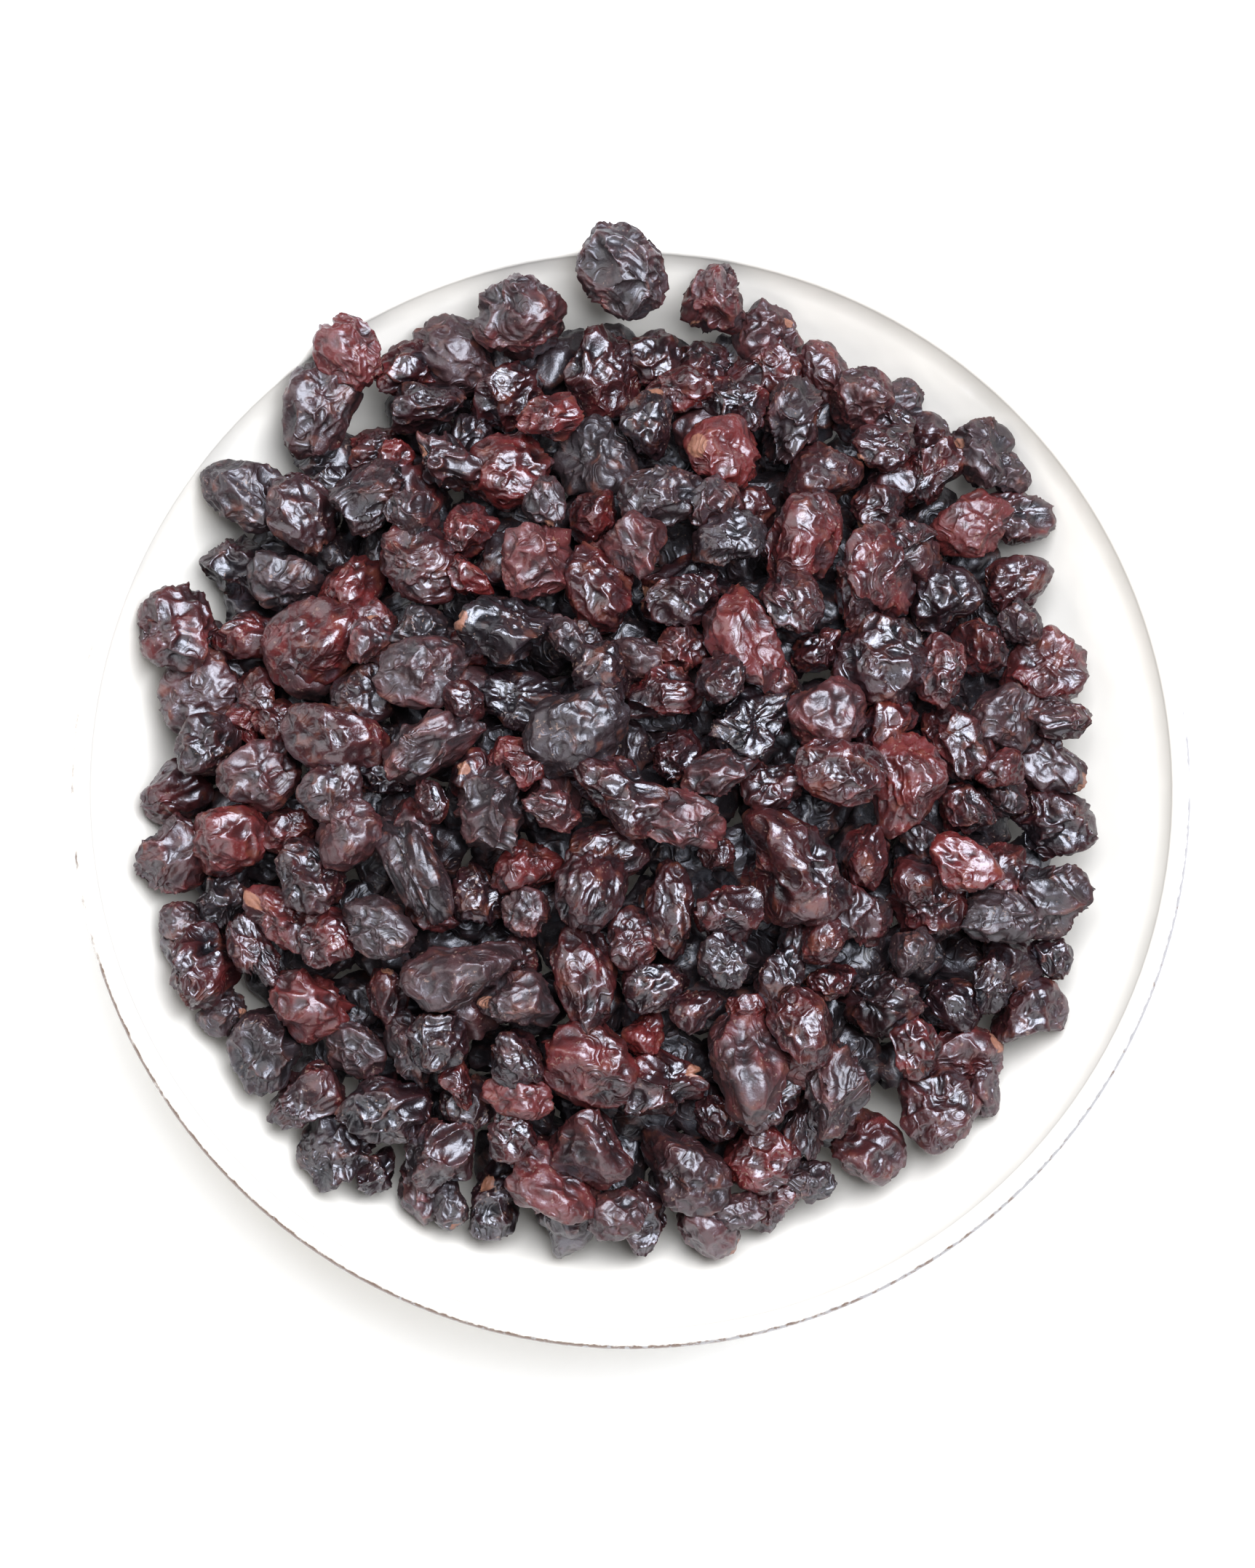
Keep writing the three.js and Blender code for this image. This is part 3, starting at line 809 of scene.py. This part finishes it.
# A row of balls, one for each berry, creased all together. A ball that is swollen while it is creased,
# and shrunk again afterwards, gets finer creases.
def creasedRow(name, berries, cuts):
    deselectAll()
    bpy.ops.mesh.primitive_ico_sphere_add(subdivisions=cuts, radius=1)
    row = bpy.context.object
    row.name = name
    copies = row.modifiers.new("row", "ARRAY")
    copies.count = len(berries)
    copies.use_relative_offset = False
    copies.use_constant_offset = True
    copies.constant_offset_displace = (skin["spacing"], 0, 0)
    bpy.ops.object.modifier_apply(modifier="row")
    places = np.arange(len(berries))[:, None, None] * np.array([skin["spacing"], 0, 0])
    swelling = np.array([berry["swelling"] for berry in berries])[:, None, :]
    balls = spotsOf(row).reshape(len(berries), -1, 3) - places
    setSpots(row, balls * swelling + places)
    displace(row, "folds", textures["folds"], skin["foldDepth"], middle=1)
    displace(row, "creases", textures["creases"], skin["creaseDepth"], middle=1)
    soften = row.modifiers.new("soften", "SMOOTH")
    soften.iterations = skin["softening"]
    bpy.ops.object.modifier_apply(modifier="soften")
    creased = spotsOf(row).reshape(len(berries), -1, 3) - places
    raised = np.linalg.norm(creased, axis=2) / np.linalg.norm(balls * swelling, axis=2)
    displace(row, "lumps", textures["lumps"], skin["lumpDepth"], "RGB_TO_XYZ")
    displace(row, "grain", textures["grain"], skin["grainDepth"])
    balls = (spotsOf(row).reshape(len(berries), -1, 3) - places) / swelling
    reach = np.linalg.norm(balls, axis=2, keepdims=True)
    over = np.maximum(reach - skin["hull"], 0)
    balls *= np.minimum(reach, skin["hull"] + skin["give"] * (1 - np.exp(-over / skin["give"]))) / reach
    return row, balls, np.clip((raised - skin["raisedStart"]) / skin["raisedWidth"], 0, 1).ravel()


# Keeps every point inside the hollow and off the lip.
def clearOfBowl(spots):
    gap = heap["skinGap"]
    out = np.hypot(spots[:, 0], spots[:, 1])
    up = spots[:, 2] - hollowCentre
    reach = np.hypot(out, up)
    outside = (spots[:, 2] < lipMiddle) & (reach > hollowRadius - gap)
    pull = np.where(outside, (hollowRadius - gap) / reach, 1)
    spots[:, 0] *= pull
    spots[:, 1] *= pull
    spots[:, 2] = hollowCentre + up * pull
    out = np.hypot(spots[:, 0], spots[:, 1])
    off, rise = out - lipRadius, spots[:, 2] - lipMiddle
    near = np.hypot(off, rise)
    close = (near < lip + gap) & (spots[:, 2] >= lipMiddle)
    lifted = lipMiddle + np.sqrt(np.maximum(0, (lip + gap) ** 2 - off * off))
    spots[:, 2] = np.where(close, lifted, spots[:, 2])


def addMark(piece, name, values):
    mark = piece.data.attributes.new(name, "FLOAT", "POINT")
    mark.data.foreach_set("value", values.astype(np.float32))


def makeBerries(name, berries, faces, cuts):
    row, balls, raised = creasedRow(name, berries, cuts)
    scars, rims = [], []
    for ball, berry in zip(balls, berries):
        ways = ball / np.linalg.norm(ball, axis=1)[:, None]
        end = np.sign(berry["basis"][0][2]) * ways[:, 0]
        scars.append(np.clip((end - skin["scarCosine"]) / (1 - skin["scarCosine"]), 0, 1) * berry["scarred"])
        reach = np.linalg.norm(ball, axis=1) * berryForm["fullness"]
        reach *= dented(ways, berry["dents"]) ** skin["sunken"]
        reach = np.where(reach > 1, 1 + (reach - 1) * skin["bulge"], reach) * berry["radius"]
        shape = faceted(ways, berry["facets"])
        rims.append(np.clip((shape - facets["rimStart"]) / facets["rimWidth"], 0, 1))
        reach *= shape
        sizes = np.maximum(berry["sizes"], skin["slimmest"])
        ball[:] = ways * reach[:, None] * sizes @ berry["basis"] + (berry["x"], berry["y"], berry["z"])
    spots = balls.reshape(-1, 3)
    clearOfBowl(spots)
    setSpots(row, spots * mm)
    addMark(row, "raised", raised)
    addMark(row, "scar", np.concatenate(scars))
    addMark(row, "rim", np.concatenate(rims))
    for mark in ("tint", "dry"):
        addMark(row, mark, np.repeat([berry[mark] for berry in berries], balls.shape[1]))
    if faces * len(berries) < len(row.data.polygons):
        thinOut(row, balls, berries, faces)
    bpy.ops.object.shade_smooth()
    return row


# Takes faces away until each berry has about so many, most of all from its underside.
def thinOut(row, balls, berries, faces):
    under = row.vertex_groups.new(name="under")
    low = np.concatenate([ball[:, 2] < berry["z"] for ball, berry in zip(balls, berries)])
    under.add(np.flatnonzero(low).tolist(), 1, "REPLACE")
    fewer = row.modifiers.new("fewer", "DECIMATE")
    fewer.vertex_group = "under"
    fewer.vertex_group_factor = skin["thinUnderneath"]
    fewer.ratio = faces * len(berries) / len(row.data.polygons)
    bpy.ops.object.modifier_apply(modifier="fewer")
    row.vertex_groups.clear()


# The skin's colors, shares and noises, which are as in the glaze.
skinLook = {
    "flesh": [
        (0.0, (0.0015, 0.0012, 0.002)), (0.3, (0.0034, 0.0012, 0.0018)), (0.6, (0.0092, 0.0015, 0.0021)),
        (0.85, (0.03, 0.0027, 0.0029)), (1.0, (0.072, 0.005, 0.0046)),
    ],
    # the ridges' pale red: partly the skin's own color, partly a painted glow of light through the thin skin
    "pale": [(0.0, (0.027, 0.0105, 0.0135)), (1.0, (0.18, 0.028, 0.024))],
    "dusty": (0.034, 0.019, 0.017),
    "warm": (0.17, 0.05, 0.026),
    "grit": (0.25, 0.16, 0.12),
    "scar": (0.22, 0.085, 0.042),
    "blotchNoise": (4, 2),
    "blotchTint": 1.9,
    "fineNoise": (0.5, 3, 0.6),
    "contourNoise": (3.2, 1),
    "contours": 14,
    "contourSpread": (0.35, 1),
    "wrinkleNoise": (6, 1),
    "wrinklePatches": (0.4, 0.6),
    # ridges and facet rims: paler and redder, partly the skin's own color and partly a painted glow
    "rimSpread": (0.45, 1),
    "rimShare": 0.25,
    "raisedSpread": (0.55, 0.95),
    "raisedShare": 0.8,
    "ridgeTintAndGlow": 0.2,
    "ridgePaleAndGlow": 0.35,
    "wrinklePale": 0.08,
    "dustyShare": 0.2,
    "warmNoise": (2.4, 2),
    "warmPatches": (0.55, 0.68),
    "warmShare": 0.35,
    "gritBlotch": 0.4,
    "gritSpread": (0.86, 0.92),
    "gritShare": 0.5,
    "scarFine": 0.5,
    "scarSpread": (0.62, 0.78),
    "scarShare": 0.35,
    "rough": 0.22,
    "dryRough": 0.2,
    "blotchRough": 0.16,
    "gritRough": 0.2,
    "scarRough": 0.3,
    "fineHeight": 0.8,
    "bumpHeight": 0.1,
    "specular": 1,
    "specularTint": (0.84, 0.87, 1, 1),
    "coat": 0.25,
    "coatRough": 0.18,
}


def skinFinish():
    look = skinLook
    peel = Finish("dried_berry_skin")
    tint, dry, raised, rim, scar = [
        peel.add("ShaderNodeAttribute", {"attribute_name": mark}, output="Fac")
        for mark in ("tint", "dry", "raised", "rim", "scar")
    ]
    blotch = peel.noise(*look["blotchNoise"])
    fine = peel.noise(*look["fineNoise"])
    contour = peel.noise(*look["contourNoise"]) * look["contours"]
    patches = peel.noise(*look["wrinkleNoise"]).above(*look["wrinklePatches"])
    wrinkle = contour.math("PINGPONG", contour, 1.0).above(*look["contourSpread"]) * patches
    rim = rim.above(*look["rimSpread"])
    # Ridges and facet rims are paler and redder: partly the skin's own color, partly a painted glow of light
    # through the thin skin.
    ridgeColorAndGlow = raised.above(*look["raisedSpread"]) * look["raisedShare"] + rim * look["rimShare"]
    # The color goes from flesh to pale red ridges, partly the skin's own color and partly a painted glow,
    # and then gets its dust, warm ridges, grit and stem scar.
    depth = tint + (blotch - 0.5) * look["blotchTint"] + ridgeColorAndGlow * look["ridgeTintAndGlow"]
    flesh = peel.add("ShaderNodeValToRGB", {"stops": look["flesh"]}, depth)
    pale = peel.add("ShaderNodeValToRGB", {"stops": look["pale"]}, tint)
    color = peel.mix(ridgeColorAndGlow * look["ridgePaleAndGlow"] + wrinkle * look["wrinklePale"], flesh, pale)
    color = peel.mix(dry * look["dustyShare"], color, look["dusty"])
    warm = ridgeColorAndGlow * peel.noise(*look["warmNoise"]).above(*look["warmPatches"])
    color = peel.mix(warm * look["warmShare"], color, look["warm"])
    grit = (fine + blotch * look["gritBlotch"]).above(*look["gritSpread"])
    color = peel.mix(grit * look["gritShare"], color, look["grit"])
    scar = (scar + fine * look["scarFine"]).above(*look["scarSpread"])
    color = peel.mix(scar * (look["scarShare"] + fine), color, look["scar"])
    rough = look["rough"] + dry * look["dryRough"] + blotch * look["blotchRough"]
    rough = rough + grit * look["gritRough"] + scar * look["scarRough"]
    normal = peel.bump(fine * look["fineHeight"] + wrinkle, look["bumpHeight"])
    return peel.close(Base_Color=color, Roughness=rough, Normal=normal, Coat_Weight=look["coat"],
                      Specular_IOR_Level=look["specular"], Specular_Tint=look["specularTint"],
                      Coat_Roughness=look["coatRough"])


makeCamera()
makeStage()
print("camera and light are set")

pot = shapeBowl()
pot.data.materials.append(glazeFinish())
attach(pot, "root")
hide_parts("bowl")
print("bowl:", len(pot.data.polygons), "faces")

textures = {
    "lumps": makeTexture("lumps", "CLOUDS", noise_scale=skin["lumpSize"], cloud_type="COLOR", noise_depth=1),
    "folds": makeNet("folds", skin["foldSize"]),
    "creases": makeWandering("creases", skin["creaseSize"]),
    "grain": makeTexture("grain", "CLOUDS", noise_scale=skin["grainSize"], noise_depth=2),
}
laid = layBerries()
drawing = [shapeBerry(berry) for berry in laid]
print("the drawing has", len(drawing), "berries")
onLip = drawing[laying["lowerLayer"]]
onLip["y"] = lipBerry["back"]
onLip["z"] = heightOnBowl(onLip["x"], onLip["y"], onLip["radius"])
onLip["sizes"] = np.array(lipBerry["sizes"])
onLip["basis"] = basisOf(lipBerry["heading"])
onLip["dents"] = [(way, deep * lipBerry["dentShare"]) for way, deep in onLip["dents"]]
laying.update(filling)
layChosen(laid, tuckedBerries)
layUntilFull(laid, laying["most"])
fillers = [shapeBerry(berry) for berry in laid[len(drawing):]]
print("filled in with", len(fillers), "smaller ones")
berries = drawing + fillers

# What the drawing doesn't give: the tint of a berry that is laid by rule, and how dry each berry is.
chance = {
    "seed": 7,
    "tint": (0.47, 0.2),  # the middle and the spread
    "dryPower": 1.5,
}
dice = np.random.default_rng(chance["seed"])
for berry in berries:
    berry.setdefault("tint", float(np.clip(dice.normal(*chance["tint"]), 0, 1)))
    berry["dry"] = dice.random() ** chance["dryPower"]
    berry["scarred"] = dice.random() < skin["scarShare"]
    berry["swelling"] = dice.uniform(skin["coarsest"], skin["finest"]) * dice.uniform(*skin["uneven"], 3)
    berry["facets"] = rollFacets(dice)
onLip.update(facets=None, swelling=np.full(3, lipBerry["swelling"]))
findShown(berries)

# The berries go into several pieces, none with more faces than this. Each kind has its faces for one berry,
# and the cuts of the ball that it starts from.
batching = {
    "mostFaces": 195000,
    "shownShare": 0.3,
    "shown": (3600, 5),
    "hidden": (1280, 4),
    "below": (560, 4),
}
skinMaterial = skinFinish()
batches = []
for kind in ("shown", "hidden"):
    chosen = [berry for berry in berries if (berry["shown"] > batching["shownShare"]) == (kind == "shown")]
    perPiece = batching["mostFaces"] // batching[kind][0]
    print(kind, len(chosen))
    for start in range(0, len(chosen), perPiece):
        name = f"berries_{kind}_{start // perPiece + 1}"
        batches.append((name, chosen[start:start + perPiece], batching[kind]))
batches.append(("berries_below", makeLayerBelow(dice), batching["below"]))
for name, batch, (faces, cuts) in batches:
    piece = makeBerries(name, batch, faces, cuts)
    piece.data.materials.append(skinMaterial)
    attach(piece, "root")
    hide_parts("berry_heap")
    print(name, len(piece.data.polygons), "faces")
